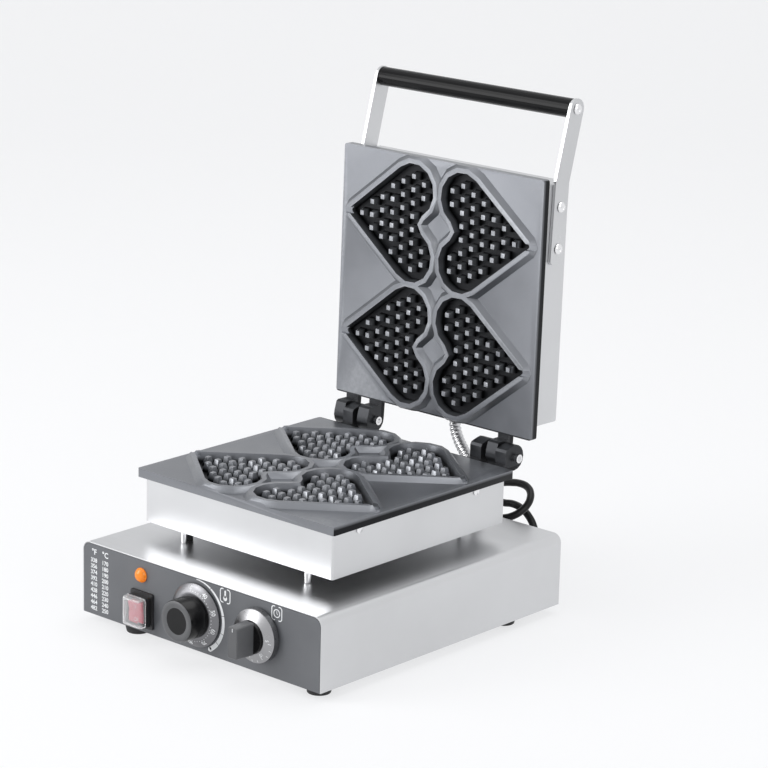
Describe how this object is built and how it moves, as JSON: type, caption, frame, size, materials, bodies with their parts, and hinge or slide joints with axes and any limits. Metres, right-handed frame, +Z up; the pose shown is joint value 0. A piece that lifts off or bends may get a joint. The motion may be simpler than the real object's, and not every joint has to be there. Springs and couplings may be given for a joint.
{
  "type": "countertop heart waffle maker",
  "caption": "Countertop waffle iron with heart moulds, pegged cast plates, a hinged lid with a bar handle, two dials, a rocker switch, a lamp and a mains lead.",
  "frame": {"origin": "centre of the bounding box's bottom, without the mains lead: on the floor, below the middle of the machine with its lid open", "axes": "+X to the right along the front panel, +Y to the rear, +Z up; the front panel faces -Y"},
  "size_m": [0.3058, 0.4781, 0.4901],
  "materials": {
    "stainless": "satin stainless sheet",
    "casting": "dark satin release coating",
    "chrome": "bright",
    "zinc": "zinc plated",
    "overlay": "satin dark grey",
    "knob_black": "satin black",
    "grip_black": "glossy black",
    "rubber": "matte black",
    "cord_black": "satin black",
    "amber": "clear amber",
    "red": "glossy red",
    "clear": "clear flexible",
    "fibre": "white fibre felt",
    "element": "oxidised steel"
  },
  "bodies": {
    "base": {"base_cover": "stainless", "chassis_tray": "stainless", "lower_box": "stainless", "conduit": "stainless", "front_overlay": "overlay", "foot_front_left": "rubber", "foot_front_right": "rubber", "foot_rear_left": "rubber", "foot_rear_right": "rubber", "wire_sleeve": "rubber", "cord_gland": "rubber", "post_front_left": "chrome", "post_front_right": "chrome", "post_rear_left": "chrome", "post_rear_right": "chrome", "hinge_pin_left": "chrome", "hinge_pin_right": "chrome", "box_screw_front_left": "chrome", "box_screw_front_right": "chrome", "box_screw_rear_left": "chrome", "box_screw_rear_right": "chrome", "indicator_lamp": "amber", "switch_body": "knob_black", "switch_hood": "clear", "thermostat_body": "zinc", "timer_body": "zinc", "lower_clamp": "zinc", "lower_clamp_screw": "zinc", "hinge_nut_left": "zinc", "hinge_nut_right": "zinc", "conduit_ferrule_base": "zinc", "lower_plate": "casting", "lower_heater": "element", "thermostat_bulb": "element", "lower_insulation": "fibre", "power_cord": "cord_black", "cord_coil": "cord_black", "mains_plug": "cord_black"},
    "lid": {"upper_plate": "casting", "upper_box": "stainless", "upper_heater": "element", "upper_clamp": "zinc", "upper_clamp_screw": "zinc", "handle_arm_left": "stainless", "handle_arm_right": "stainless", "arm_screw_low_left": "chrome", "arm_screw_low_right": "chrome", "arm_screw_high_left": "chrome", "arm_screw_high_right": "chrome", "handle_grip": "grip_black", "handle_rod": "zinc", "grip_screw_left": "chrome", "grip_screw_right": "chrome", "conduit_ferrule_lid": "zinc"},
    "rocker": {"power_rocker": "red"},
    "temperature_dial": {"temperature_knob": "knob_black", "thermostat_shaft": "zinc"},
    "timer_dial": {"timer_knob": "knob_black", "timer_shaft": "zinc"}
  },
  "joints": [
    {"name": "lid_hinge", "type": "hinge", "parent": "base", "child": "lid", "pos_m": [0, 0.13846, 0.15105], "axis": [1, 0, 0], "range_deg": [0, 91.2], "deforming": ["conduit"]},
    {"name": "rocker_tilt", "type": "hinge", "parent": "base", "child": "rocker", "pos_m": [-0.0715, -0.17554, 0.031], "axis": [-1, 0, 0], "range_deg": [0, 16]},
    {"name": "temperature_turn", "type": "hinge", "parent": "base", "child": "temperature_dial", "pos_m": [-0.001, -0.17334, 0.0435], "axis": [0, 1, 0], "range_deg": [0, 290]},
    {"name": "timer_turn", "type": "hinge", "parent": "base", "child": "timer_dial", "pos_m": [0.078, -0.17334, 0.0455], "axis": [0, 1, 0], "range_deg": [0, 300]}
  ]
}
